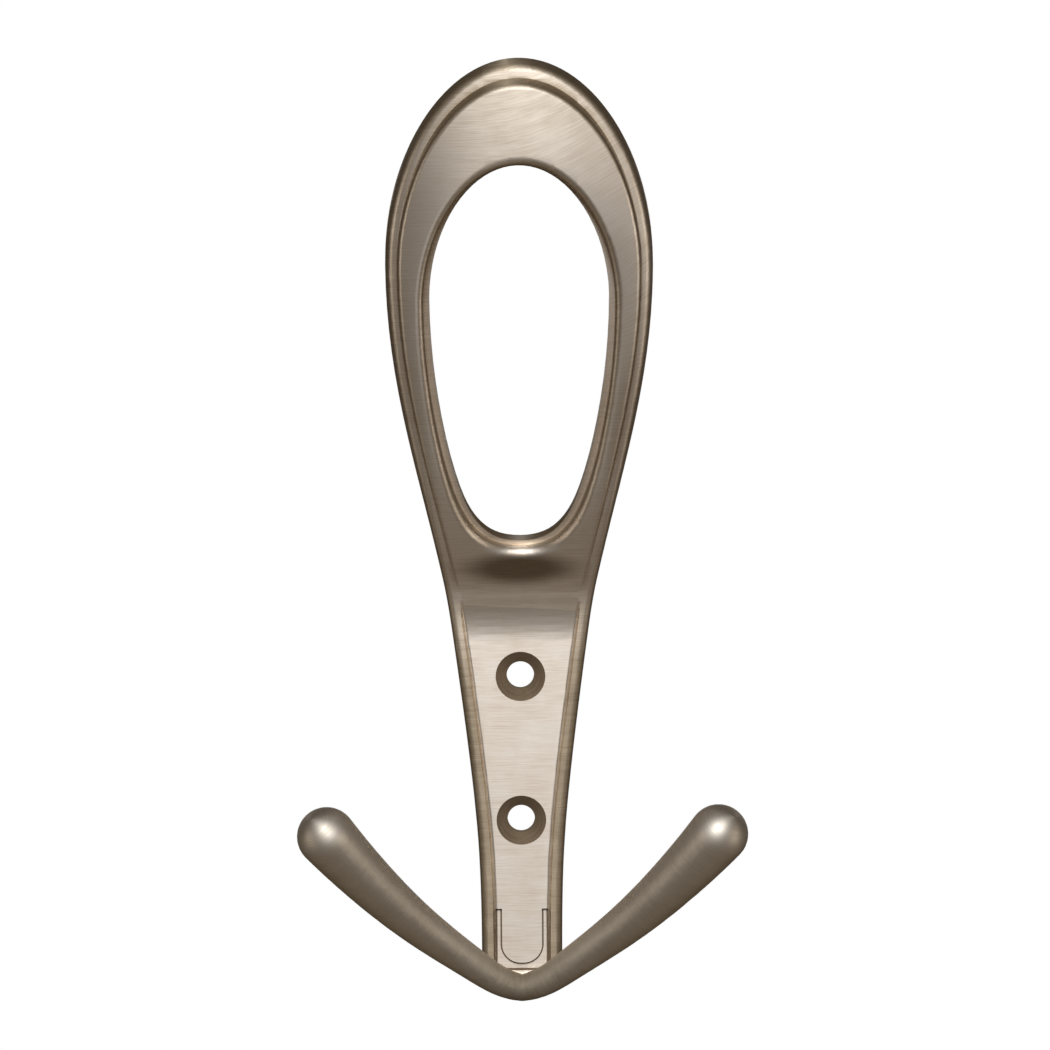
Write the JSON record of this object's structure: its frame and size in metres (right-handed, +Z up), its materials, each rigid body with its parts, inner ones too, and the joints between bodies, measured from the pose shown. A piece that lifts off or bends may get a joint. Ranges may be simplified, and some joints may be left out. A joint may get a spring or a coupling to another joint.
{
  "type": "coat hook",
  "caption": "Wall coat hook: a flat stem with countersunk screw holes, a forward-leaning oval loop above and round-ended prongs that sweep forward and up below.",
  "frame": {"origin": "on the wall face of the stem, midway between the two screw holes", "axes": "+X to the viewer's right, +Y into the wall, +Z up; the hook faces -Y"},
  "size_m": [0.0768, 0.0384, 0.1659],
  "materials": {
    "satin_nickel": "brushed satin nickel plate on die-cast zinc"
  },
  "bodies": {
    "root": {"hook_body": "satin_nickel"}
  },
  "joints": []
}
